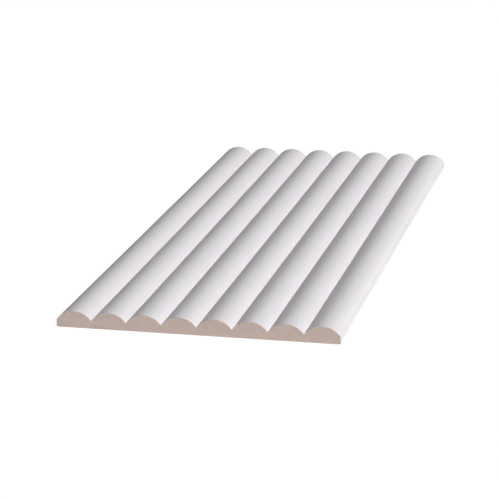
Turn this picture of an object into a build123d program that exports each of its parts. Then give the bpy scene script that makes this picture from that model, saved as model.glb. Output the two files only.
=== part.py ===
from build123d import *

import os

# Reeded wall panel: one board of MDF, moulded along its face into a row of half-round beads.
# The beads run along Y, the back lies on Z = 0, and the origin is the middle of the back.

# Driving dimensions, in millimetres
panel_length = 475.0  # along the beads
bead_count = 8
bead_pitch = 25.0  # from one groove to the next
board_thickness = 12.0  # from the back to the crests of the beads
groove_depth = 6.7  # from the crests down to where neighbouring beads meet
groove_root_radius = 0.4  # left in each groove by the nose of the cutter
arris_radius = 0.5  # easing of the four long outer corners

# Sizes that follow from them
panel_width = bead_count * bead_pitch
edge_height = board_thickness - groove_depth  # the upright side edges stop level with the grooves
left_edge = -panel_width / 2
right_edge = panel_width / 2

with BuildPart() as reeded_panel:
    with BuildSketch(Plane.XZ) as section:
        with BuildLine():
            # Flat back, with an upright edge at each side
            Polyline(
                (left_edge, edge_height),
                (left_edge, 0),
                (right_edge, 0),
                (right_edge, edge_height),
            )
            # Bead after bead across the face, each one arc from groove to groove
            for bead in range(bead_count):
                start = left_edge + bead * bead_pitch
                ThreePointArc(
                    (start, edge_height),
                    (start + bead_pitch / 2, board_thickness),
                    (start + bead_pitch, edge_height),
                )
        make_face()

        # The cutter leaves a small round at the bottom of every groove
        groove_level = section.vertices().group_by(Axis.Y)[-1].sort_by(Axis.X)
        fillet(groove_level[1:-1], radius=groove_root_radius)

        # The long outer corners are eased so that they hold their paint
        across = section.vertices().group_by(Axis.X)
        fillet(across[0] + across[-1], radius=arris_radius)

    # The moulder cuts the same section along the whole length, and the ends are sawn square
    extrude(amount=panel_length / 2, both=True)

reeded_panel.part.label = "reeded_panel"
os.makedirs("parts", exist_ok=True)
export_step(reeded_panel.part, "parts/reeded_panel.step")
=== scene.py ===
import math

import bpy
from mathutils import Matrix, Vector
from mathutils.geometry import delaunay_2d_cdt


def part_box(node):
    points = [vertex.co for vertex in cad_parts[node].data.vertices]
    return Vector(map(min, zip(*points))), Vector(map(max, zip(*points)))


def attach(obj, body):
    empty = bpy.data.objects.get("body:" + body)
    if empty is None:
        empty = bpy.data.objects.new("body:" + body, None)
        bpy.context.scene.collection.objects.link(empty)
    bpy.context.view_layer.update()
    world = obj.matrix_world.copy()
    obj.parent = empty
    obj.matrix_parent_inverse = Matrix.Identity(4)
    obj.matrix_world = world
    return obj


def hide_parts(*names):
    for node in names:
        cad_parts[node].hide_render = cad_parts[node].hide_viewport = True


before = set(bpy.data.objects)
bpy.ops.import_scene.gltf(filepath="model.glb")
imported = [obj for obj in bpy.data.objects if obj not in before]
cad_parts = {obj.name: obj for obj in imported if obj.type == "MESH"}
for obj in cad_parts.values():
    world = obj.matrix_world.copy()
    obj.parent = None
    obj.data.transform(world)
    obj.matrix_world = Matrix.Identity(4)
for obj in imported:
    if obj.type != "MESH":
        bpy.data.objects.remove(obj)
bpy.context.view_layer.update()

# A reeded wall panel, moulded from one board of MDF and lying face up. The beads and the two
# side edges carry a matt white primer. The sawn ends and the back are raw board.

# Sizes of the panel, in metres
panel_low, panel_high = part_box("reeded_panel")
PANEL_WIDTH = panel_high.x - panel_low.x
PANEL_LENGTH = panel_high.y - panel_low.y
HALF_WIDTH = PANEL_WIDTH / 2
HALF_LENGTH = PANEL_LENGTH / 2
BOARD_THICKNESS = 0.012  # from the back to the crests of the beads
BEAD_COUNT = 8
BEAD_PITCH = PANEL_WIDTH / BEAD_COUNT
HALF_PITCH = BEAD_PITCH / 2
GROOVE_DEPTH = 0.0067  # from the crests down to where neighbouring beads meet
GROOVE_LEVEL = BOARD_THICKNESS - GROOVE_DEPTH
GROOVE_ROOT_RADIUS = 0.0004  # left in each groove by the nose of the cutter
ARRIS_RADIUS = 0.0005  # easing of the four long outer corners
END_EASING = 0.0001  # the saw leaves the edges of the ends this blunt

# A bead is one arc, which spans a pitch and rises by the depth of a groove
BEAD_RADIUS = (HALF_PITCH**2 + GROOVE_DEPTH**2) / (2 * GROOVE_DEPTH)
BEAD_CENTRE_HEIGHT = BOARD_THICKNESS - BEAD_RADIUS

# How finely the panel is meshed
BEAD_SEGMENTS = 40
ROOT_SEGMENTS = 6
ARRIS_SEGMENTS = 6
BACK_SEGMENTS = 120
LENGTH_SEGMENTS = 24

# The flat map is a square in metres, shrunk to one: the primed face unrolled, the back beside it,
# and the two ends in a row above them
MAP_SIDE = 0.5
MAP_GAP = 0.004

# The materials, in the order in which the mesh holds them
PRIMED, SAWN, SANDED = range(3)

# Camera, fitted to the outlines of the panel in the photograph
CAMERA_PLACE = Vector((0.34849, -1.48932, 0.45385))
CAMERA_AZIMUTH = math.radians(13.899)
CAMERA_ELEVATION = math.radians(16.867)
CAMERA_ROLL = math.radians(1.043)
CAMERA_SENSOR = 36.0  # millimetres
CAMERA_LENS = 145.354  # millimetres

# Light. A lamp of level 1 shows a colour that faces it as it is written. Azimuth 0 is at the front
# and 90 at the right. Two lamps cast no shadow: the side lamp, whose light reaches down into the
# grooves, and the left lamp, which stands for light that the floor throws up.
LAMP_DISTANCE = 8.0
LAMPS = [
    {"name": "key_lamp", "azimuth": 52, "elevation": 43, "side": 0.8, "level": 0.72, "shadow": True},
    {"name": "side_lamp", "azimuth": 88, "elevation": 10, "side": 1.5, "level": 0.225, "shadow": False},
    {"name": "fill_lamp", "azimuth": 22, "elevation": 12, "side": 2.0, "level": 0.31, "shadow": True},
    {"name": "left_lamp", "azimuth": 265, "elevation": -22, "side": 2.0, "level": 0.15, "shadow": False},
    {"name": "back_lamp", "azimuth": 182, "elevation": 2.5, "side": 0.6, "level": 0.3, "shadow": True},
]

# Colours, as linear light
PRIMER_LIGHT = (0.825, 0.802, 0.825, 1)
PRIMER_DEEP = (0.775, 0.752, 0.775, 1)
PRIMER_THIN = (0.70, 0.67, 0.67, 1)
BOARD_LIGHT = (0.614, 0.502, 0.449, 1)
BOARD_DARK = (0.435, 0.350, 0.308, 1)
BOARD_SPECK = (0.28, 0.20, 0.165, 1)

# Gloss: the least roughness of each surface, and how strongly it mirrors
PRIMER_ROUGHNESS = 0.72
PRIMER_MIRROR = 0.1
SAWN_ROUGHNESS = 0.78
SAWN_MIRROR = 0.2
SANDED_ROUGHNESS = 0.65
SANDED_MIRROR = 0.3

# Traces of making, in metres
THIN_PAINT_REACH = 0.0008  # how far the paint draws back from an arris
NICK_REACH = 0.0006  # how far the saw nicks the paint
OVERSPRAY_REACH = 0.007  # how far paint drifts on to the back
DENSE_SKIN = 0.0015  # the board is pressed hardest this close to its faces
KNIFE_PITCH = 0.0016  # between the marks of the moulder's knives
SAW_RADIUS = 0.15
SAW_CENTRE_HEIGHT = -0.09  # the blade came up from under the board

# Heights of the relief, in metres
PEEL_HEIGHT = 4e-6
GRAIN_HEIGHT = 2e-6
STREAK_HEIGHT = 1e-6
RAISED_FIBRE_HEIGHT = 6e-6
RIPPLE_HEIGHT = 6e-7
SAWN_FIBRE_HEIGHT = 2e-5
SAW_MARK_HEIGHT = 1.5e-5
SANDED_FIBRE_HEIGHT = 6e-6
SANDING_LINE_HEIGHT = 6e-6

# Floor
FLOOR_SIDE = 12.0
FLOOR_DROP = 0.0002  # below the back, so that the two never share a plane
FLOOR_COLOUR = 0.85  # what it throws back on to the panel
FLOOR_GLOW = 0.93  # what the camera sees of it even in full shadow
FLOOR_SHADE = 0.16  # what the light on it adds to that


# Shape

def arc(centre_x, centre_z, radius, start, end, segments, hollow=False):
    """Points of an arc as x, z and lean, the angle of its outer side from upright towards +X."""
    side = -1 if hollow else 1
    points = []
    for step in range(segments + 1):
        lean = start + (end - start) * step / segments
        x = centre_x + side * radius * math.sin(lean)
        z = centre_z + side * radius * math.cos(lean)
        points.append((x, z, lean))
    return points


def primed_outline():
    """The primed surface in section: up the left edge, over the beads and down the right edge."""
    quarter = math.pi / 2
    root_reach = BEAD_RADIUS + GROOVE_ROOT_RADIUS
    root_lean = math.asin(HALF_PITCH / root_reach)
    root_height = BEAD_CENTRE_HEIGHT + root_reach * math.cos(root_lean)
    arris_reach = BEAD_RADIUS - ARRIS_RADIUS
    arris_lean = math.asin((HALF_PITCH - ARRIS_RADIUS) / arris_reach)
    arris_height = BEAD_CENTRE_HEIGHT + arris_reach * math.cos(arris_lean)
    arris_x = HALF_WIDTH - ARRIS_RADIUS

    points = arc(-arris_x, ARRIS_RADIUS, ARRIS_RADIUS, -2 * quarter, -quarter, ARRIS_SEGMENTS)
    points += arc(-arris_x, arris_height, ARRIS_RADIUS, -quarter, -arris_lean, ARRIS_SEGMENTS)
    for bead in range(BEAD_COUNT):
        centre = -HALF_WIDTH + (bead + 0.5) * BEAD_PITCH
        start = -arris_lean if bead == 0 else -root_lean
        end = arris_lean if bead == BEAD_COUNT - 1 else root_lean
        points += arc(centre, BEAD_CENTRE_HEIGHT, BEAD_RADIUS, start, end, BEAD_SEGMENTS)[1:]
        if bead < BEAD_COUNT - 1:
            groove = centre + HALF_PITCH
            root = arc(
                groove,
                root_height,
                GROOVE_ROOT_RADIUS,
                root_lean,
                -root_lean,
                ROOT_SEGMENTS,
                hollow=True,
            )
            points += root[1:]
    points += arc(arris_x, arris_height, ARRIS_RADIUS, arris_lean, quarter, ARRIS_SEGMENTS)[1:]
    points += arc(arris_x, ARRIS_RADIUS, ARRIS_RADIUS, quarter, 2 * quarter, ARRIS_SEGMENTS)
    return points


def back_outline():
    """The flat back in section, from the right corner to the left one."""
    arris_x = HALF_WIDTH - ARRIS_RADIUS
    points = []
    for step in range(BACK_SEGMENTS + 1):
        x = arris_x - 2 * arris_x * step / BACK_SEGMENTS
        points.append((x, 0.0, math.pi))
    return points


def facing(lean):
    """The outward direction of a surface that leans this far from upright towards +X."""
    return Vector((math.sin(lean), 0.0, math.cos(lean)))


class PanelMesh:
    """Collects vertices and faces, with each corner's own direction and place on the flat map."""

    def __init__(self):
        self.vertices = []
        self.faces = []
        self.directions = []
        self.map_places = []
        self.face_materials = []

    def add_face(self, corners, material):
        """corners holds, for each corner, its vertex, its direction and its place on the map."""
        self.faces.append([corner[0] for corner in corners])
        self.directions += [corner[1] for corner in corners]
        self.map_places += [corner[2] for corner in corners]
        self.face_materials.append(material)

    def make(self, name, materials):
        mesh = bpy.data.meshes.new(name)
        mesh.from_pydata(self.vertices, [], self.faces)
        for material in materials:
            mesh.materials.append(material)
        for polygon, material in zip(mesh.polygons, self.face_materials):
            polygon.material_index = material
            polygon.use_smooth = True
        flat_map = mesh.uv_layers.new(name="OFBake")
        for corner, place in zip(flat_map.data, self.map_places):
            corner.uv = place
        mesh.normals_split_custom_set(self.directions)
        mesh.update()
        panel = bpy.data.objects.new(name, mesh)
        bpy.context.scene.collection.objects.link(panel)
        return panel


def map_place(across, along):
    """A place on the flat map, from two distances in metres."""
    return (across / MAP_SIDE, along / MAP_SIDE)


def length_stations():
    """Places along Y where the section stands, each with how far the section is drawn in there."""
    stations = [(-HALF_LENGTH, END_EASING)]
    inner = HALF_LENGTH - END_EASING
    for step in range(LENGTH_SEGMENTS + 1):
        stations.append((-inner + 2 * inner * step / LENGTH_SEGMENTS, 0.0))
    stations.append((HALF_LENGTH, END_EASING))
    return stations


def map_distances(ring, primed_count):
    """How far along the section each of its points lies on the flat map."""
    count = len(ring)
    distances = [MAP_GAP]
    for step in range(1, count + 1):
        x, z, _ = ring[step - 1]
        next_x, next_z, _ = ring[step % count]
        gap = MAP_GAP if step == primed_count else 0.0
        distances.append(distances[-1] + math.hypot(next_x - x, next_z - z) + gap)
    return distances


def add_sides(panel, ring, primed_count, stations):
    """The section run along Y, with a blunt edge round each end."""
    count = len(ring)
    for y, inset in stations:
        for x, z, lean in ring:
            out = facing(lean)
            panel.vertices.append((x - inset * out.x, y, z - inset * out.z))

    distances = map_distances(ring, primed_count)
    last_primed = primed_count - 1
    last_span = len(stations) - 2
    for span in range(last_span + 1):
        for column in range(count):
            next_column = (column + 1) % count
            if span in (0, last_span):
                material = SAWN
            elif column >= last_primed:
                material = SANDED
            else:
                material = PRIMED

            # The back starts a new island, so its first corner is measured again from its second
            start = distances[column]
            end = distances[column + 1]
            if column == last_primed:
                start = end - abs(ring[next_column][0] - ring[column][0])

            quad = (
                (column, span, start),
                (next_column, span, end),
                (next_column, span + 1, end),
                (column, span + 1, start),
            )
            corners = []
            for corner_column, station, distance in quad:
                y, inset = stations[station]
                out = facing(ring[corner_column][2])
                if inset:
                    out = Vector((0.0, math.copysign(1.0, y), 0.0))
                vertex = station * count + corner_column
                corners.append((vertex, out, map_place(distance, MAP_GAP + y + HALF_LENGTH)))
            panel.add_face(corners, material)


def add_ends(panel, ring, last_station):
    """The two ends, each filled with triangles between the points of the section."""
    count = len(ring)
    flat = [Vector((x, z)) for x, z, _ in ring]
    outline = [(point, (point + 1) % count) for point in range(count)]
    inside_only = 1
    tolerance = 1e-9
    _, _, triangles, *_ = delaunay_2d_cdt(flat, outline, [], inside_only, tolerance)
    end_row = 2 * MAP_GAP + PANEL_LENGTH
    for station, y_way, map_column in ((0, -1, 0), (last_station, 1, 1)):
        out = Vector((0.0, y_way, 0.0))
        offset = MAP_GAP + HALF_WIDTH + map_column * (PANEL_WIDTH + MAP_GAP)
        for triangle in triangles:
            corners = []
            for point in triangle:
                place = map_place(offset + flat[point].x, end_row + flat[point].y)
                corners.append((station * count + point, out, place))
            panel.add_face(corners if y_way < 0 else corners[::-1], SAWN)


def build_panel(materials):
    """The panel as one closed mesh."""
    panel = PanelMesh()
    primed = primed_outline()
    # The back shares its two outer points with the primed outline
    ring = primed + back_outline()[1:-1]
    stations = length_stations()
    add_sides(panel, ring, len(primed), stations)
    add_ends(panel, ring, len(stations) - 1)
    return panel.make("reeded_panel_finish", materials)


# Materials

class Finish:
    """A procedural material. Most methods add nodes and return the socket with their result."""

    def __init__(self, name):
        self.material = bpy.data.materials.new(name)
        self.material.use_nodes = True
        self.tree = self.material.node_tree
        self.shader = self.tree.nodes["Principled BSDF"]
        self.place = self.add("TexCoord").outputs["Object"]
        self.x, self.y, self.z = self.add("SeparateXYZ", {"Vector": self.place}).outputs

    def add(self, kind, inputs=None, **settings):
        node = self.tree.nodes.new("ShaderNode" + kind)
        for name, value in settings.items():
            setattr(node, name, value)
        for name, value in (inputs or {}).items():
            self.feed(node.inputs[name], value)
        return node

    def feed(self, socket, value):
        if isinstance(value, bpy.types.NodeSocket):
            self.tree.links.new(value, socket)
        else:
            socket.default_value = value

    def math(self, operation, first, second=0.0):
        return self.add("Math", {0: first, 1: second}, operation=operation).outputs[0]

    def scaled(self, factors):
        """The place on the panel, with each axis multiplied to squeeze or stretch a pattern."""
        return self.add("VectorMath", {0: self.place, 1: factors}, operation="MULTIPLY").outputs[0]

    def noise(self, size, detail=2.0, stretch=(1, 1, 1)):
        """Noise about one half, in patches of this size in metres, drawn out along each axis."""
        squeeze = tuple(1 / factor for factor in stretch)
        settings = {"Vector": self.scaled(squeeze), "Scale": 1 / size, "Detail": detail}
        return self.add("TexNoise", settings).outputs["Fac"]

    def line_noise(self, distance, size):
        """Noise about one half that changes only along a distance, in steps of about this size."""
        settings = {"W": distance, "Scale": 1 / size, "Detail": 2.0}
        return self.add("TexNoise", settings, noise_dimensions="1D").outputs["Fac"]

    def length(self, first, second):
        """How far two distances at right angles reach together."""
        flat = self.add("CombineXYZ", {"X": first, "Y": second}).outputs["Vector"]
        return self.add("VectorMath", {0: flat}, operation="LENGTH").outputs["Value"]

    def fade(self, value, start, end):
        """From 0 at start to 1 at end, smoothly."""
        settings = {"Value": value, "From Min": start, "From Max": end}
        return self.add("MapRange", settings, interpolation_type="SMOOTHSTEP").outputs["Result"]

    def total(self, *terms):
        """Adds up values, each times its weight."""
        result = 0.0
        for value, weight in terms:
            sockets = {0: value, 1: weight, 2: result}
            result = self.add("Math", sockets, operation="MULTIPLY_ADD").outputs[0]
        return result

    def mixed(self, share, first, second):
        """A colour between two, by share."""
        # A mix node repeats its socket names for each kind of data, so they are taken by number:
        # 0 is the share, 6 and 7 are the colours, and 2 is the colour that comes out
        node = self.add("Mix", {0: share, 6: first, 7: second}, data_type="RGBA")
        return node.outputs[2]

    def from_edge(self, axis, half_size):
        """How far in from the nearer of the two edges across an axis."""
        return self.math("SUBTRACT", half_size, self.math("ABSOLUTE", axis))

    def relief(self, height):
        """Bends the shading as a surface with these heights, in metres, would."""
        bump = self.add("Bump", {"Height": height, "Distance": 1.0})
        self.feed(self.shader.inputs["Normal"], bump.outputs["Normal"])

    def paint(self, colour, roughness, mirror):
        """Gives the shader its colour, its roughness and how strongly it mirrors."""
        self.feed(self.shader.inputs["Base Color"], colour)
        self.feed(self.shader.inputs["Roughness"], roughness)
        self.shader.inputs["Specular IOR Level"].default_value = mirror


def white_primer():
    """Sprayed primer, rubbed down along the beads, thin on the long corners and nicked by the saw."""
    finish = Finish("matt_white_primer")
    drift = finish.noise(size=0.05)
    streaks = finish.noise(size=0.0006, detail=3, stretch=(1, 50, 1))
    peel = finish.noise(size=0.0012)
    grain = finish.noise(size=0.0003)
    tone = finish.total((drift, 0.2), (streaks, 0.5), (grain, 0.3))
    colour = finish.mixed(finish.fade(tone, start=0.3, end=0.7), PRIMER_DEEP, PRIMER_LIGHT)

    # Paint draws back from a sharp corner, so the board shades it along the arrises
    from_side = finish.from_edge(finish.x, HALF_WIDTH)
    from_groove_level = finish.math("SUBTRACT", finish.z, GROOVE_LEVEL)
    from_arris = finish.length(from_side, from_groove_level)
    thin = finish.fade(from_arris, start=THIN_PAINT_REACH, end=0.0)
    patches = finish.fade(peel, start=0.2, end=0.5)
    colour = finish.mixed(finish.math("MULTIPLY", thin, patches), colour, PRIMER_THIN)

    # The saw nicks the paint along the ends
    from_end = finish.from_edge(finish.y, HALF_LENGTH)
    near_end = finish.fade(from_end, start=NICK_REACH, end=0.0)
    nicks = finish.total((grain, 1.0), (near_end, 0.3))
    colour = finish.mixed(finish.fade(nicks, start=0.78, end=0.86), colour, BOARD_LIGHT)

    # Fibres stand up more in the softer core of the board, low on the beads
    depth = finish.fade(finish.z, start=BOARD_THICKNESS, end=GROOVE_LEVEL)
    fibre = finish.noise(size=0.0006, detail=3, stretch=(1, 2.5, 1))
    raised = finish.math("MULTIPLY", finish.fade(fibre, start=0.5, end=0.75), depth)

    # The knives of the moulder leave a faint ripple along the beads
    ripple = finish.math("SINE", finish.math("MULTIPLY", finish.y, 2 * math.pi / KNIFE_PITCH))
    height = finish.total(
        (peel, PEEL_HEIGHT),
        (grain, GRAIN_HEIGHT),
        (streaks, STREAK_HEIGHT),
        (raised, RAISED_FIBRE_HEIGHT),
        (ripple, RIPPLE_HEIGHT),
    )
    roughness = finish.total((peel, 0.16), (raised, 0.08), (PRIMER_ROUGHNESS, 1.0))
    finish.relief(height)
    finish.paint(colour, roughness, PRIMER_MIRROR)
    return finish.material


def board_colour(finish, tone, specks):
    """Pressed wood fibre, pale and dark by tone, with a few dark specks of bark."""
    colour = finish.mixed(finish.fade(tone, start=0.25, end=0.75), BOARD_DARK, BOARD_LIGHT)
    return finish.mixed(finish.fade(specks, start=0.70, end=0.76), colour, BOARD_SPECK)


def sawn_board():
    """The ends: layered fibre, denser towards both faces, with the arcs that a saw blade leaves."""
    finish = Finish("sawn_board")
    fibre = finish.noise(size=0.00035, detail=3, stretch=(3, 1, 1))
    clumps = finish.noise(size=0.0025, detail=2, stretch=(2, 1, 1))
    specks = finish.noise(size=0.0005, detail=1, stretch=(1.6, 1, 1))

    # Each mark is the rim of the blade, which moves on along X; Y gives the two ends other marks
    rise = finish.math("SUBTRACT", finish.z, SAW_CENTRE_HEIGHT)
    reach_squared = finish.math("SUBTRACT", SAW_RADIUS**2, finish.math("POWER", rise, 2.0))
    reach = finish.math("SQRT", reach_squared)
    travel = finish.total((finish.x, 1.0), (reach, -1.0), (finish.y, 0.4))
    saw_marks = finish.line_noise(travel, size=0.0009)
    tone = finish.total((fibre, 0.6), (clumps, 0.15), (saw_marks, 0.25))
    colour = board_colour(finish, tone, specks)

    # The skins of the board are darker
    half_thickness = BOARD_THICKNESS / 2
    from_middle = finish.math("ABSOLUTE", finish.math("SUBTRACT", finish.z, half_thickness))
    dense = finish.fade(from_middle, start=half_thickness - DENSE_SKIN, end=half_thickness)
    colour = finish.mixed(finish.math("MULTIPLY", dense, 0.35), colour, BOARD_DARK)

    height = finish.total((fibre, SAWN_FIBRE_HEIGHT), (saw_marks, SAW_MARK_HEIGHT))
    roughness = finish.total((fibre, 0.2), (SAWN_ROUGHNESS, 1.0))
    finish.relief(height)
    finish.paint(colour, roughness, SAWN_MIRROR)
    return finish.material


def sanded_board():
    """The back: smooth fibre with sanding lines, and primer drifted round from the side edges."""
    finish = Finish("sanded_board")
    fibre = finish.noise(size=0.0007, detail=4, stretch=(1, 2, 1))
    clumps = finish.noise(size=0.01)
    lines = finish.noise(size=0.0005, detail=2, stretch=(1, 80, 1))
    specks = finish.noise(size=0.0008, detail=1, stretch=(1, 1.8, 1))
    tone = finish.total((fibre, 0.5), (clumps, 0.25), (lines, 0.25))
    colour = board_colour(finish, tone, specks)

    # Paint drifts on to the back in fine spots
    spots = finish.noise(size=0.0006)
    from_side = finish.from_edge(finish.x, HALF_WIDTH)
    near_side = finish.fade(from_side, start=OVERSPRAY_REACH, end=0.0)
    overspray = finish.total((spots, 1.0), (near_side, 0.5))
    colour = finish.mixed(finish.fade(overspray, start=0.66, end=0.9), colour, PRIMER_DEEP)

    height = finish.total((fibre, SANDED_FIBRE_HEIGHT), (lines, SANDING_LINE_HEIGHT))
    roughness = finish.total((fibre, 0.2), (SANDED_ROUGHNESS, 1.0))
    finish.relief(height)
    finish.paint(colour, roughness, SANDED_MIRROR)
    return finish.material


# Stage

def direction(azimuth, elevation):
    """From the panel towards a camera or lamp; azimuth 0 is at -Y and 90 at +X."""
    level = math.cos(elevation)
    return Vector((math.sin(azimuth) * level, -math.cos(azimuth) * level, math.sin(elevation)))


def add_lamp(name, azimuth, elevation, side, level, shadow):
    lamp = bpy.data.lights.new(name, "AREA")
    lamp.shape = "SQUARE"
    lamp.size = side
    lamp.energy = level * (math.pi * LAMP_DISTANCE) ** 2
    lamp.use_shadow = shadow
    holder = bpy.data.objects.new(name, lamp)
    towards = direction(math.radians(azimuth), math.radians(elevation))
    holder.location = towards * LAMP_DISTANCE
    holder.rotation_euler = towards.to_track_quat("Z", "Y").to_euler()
    bpy.context.scene.collection.objects.link(holder)


def add_camera():
    camera = bpy.data.cameras.new("camera")
    camera.sensor_width = CAMERA_SENSOR
    camera.lens = CAMERA_LENS
    holder = bpy.data.objects.new("camera", camera)
    turn = direction(CAMERA_AZIMUTH, CAMERA_ELEVATION).to_track_quat("Z", "Y").to_matrix()
    roll = Matrix.Rotation(-CAMERA_ROLL, 3, "Z")
    holder.matrix_world = Matrix.Translation(CAMERA_PLACE) @ (turn @ roll).to_4x4()
    bpy.context.scene.collection.objects.link(holder)
    bpy.context.scene.camera = holder


def seen_directly(tree):
    """1 on rays from the camera and from gloss or glass, which see the white, and 0 on other rays."""
    path = tree.nodes.new("ShaderNodeLightPath")
    share = path.outputs["Is Camera Ray"]
    for kind in ("Is Glossy Ray", "Is Transmission Ray"):
        either = tree.nodes.new("ShaderNodeMath")
        either.operation = "MAXIMUM"
        tree.links.new(share, either.inputs[0])
        tree.links.new(path.outputs[kind], either.inputs[1])
        share = either.outputs[0]
    return share


def add_world():
    """A white surround that lights nothing by itself."""
    world = bpy.data.worlds.new("studio")
    world.use_nodes = True
    background = world.node_tree.nodes["Background"]
    background.inputs["Color"].default_value = (1, 1, 1, 1)
    world.node_tree.links.new(seen_directly(world.node_tree), background.inputs["Strength"])
    bpy.context.scene.world = world


def floor_white():
    """White to the camera apart from the panel's shadow, and plain matt to other rays."""
    material = bpy.data.materials.new("floor_white")
    material.use_nodes = True
    tree = material.node_tree
    tree.nodes.remove(tree.nodes["Principled BSDF"])
    plain = tree.nodes.new("ShaderNodeBsdfDiffuse")
    plain.inputs["Color"].default_value = (FLOOR_COLOUR, FLOOR_COLOUR, FLOOR_COLOUR, 1)
    shade = tree.nodes.new("ShaderNodeBsdfDiffuse")
    shade.inputs["Color"].default_value = (FLOOR_SHADE, FLOOR_SHADE, FLOOR_SHADE, 1)
    glow = tree.nodes.new("ShaderNodeEmission")
    glow.inputs["Strength"].default_value = FLOOR_GLOW
    white = tree.nodes.new("ShaderNodeAddShader")
    tree.links.new(glow.outputs[0], white.inputs[0])
    tree.links.new(shade.outputs[0], white.inputs[1])
    choice = tree.nodes.new("ShaderNodeMixShader")
    tree.links.new(seen_directly(tree), choice.inputs["Fac"])
    tree.links.new(plain.outputs[0], choice.inputs[1])
    tree.links.new(white.outputs[0], choice.inputs[2])
    tree.links.new(choice.outputs[0], tree.nodes["Material Output"].inputs["Surface"])
    return material


def add_floor():
    mesh = bpy.data.meshes.new("floor")
    half = FLOOR_SIDE / 2
    corners = [(-half, -half, 0), (half, -half, 0), (half, half, 0), (-half, half, 0)]
    mesh.from_pydata(corners, [], [(0, 1, 2, 3)])
    mesh.materials.append(floor_white())
    floor = bpy.data.objects.new("floor", mesh)
    floor.location.z = -FLOOR_DROP
    bpy.context.scene.collection.objects.link(floor)


panel = build_panel([white_primer(), sawn_board(), sanded_board()])
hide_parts("reeded_panel")
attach(panel, "root")

add_floor()
add_world()
for lamp_settings in LAMPS:
    add_lamp(**lamp_settings)
add_camera()
bpy.context.scene.view_settings.view_transform = "Standard"
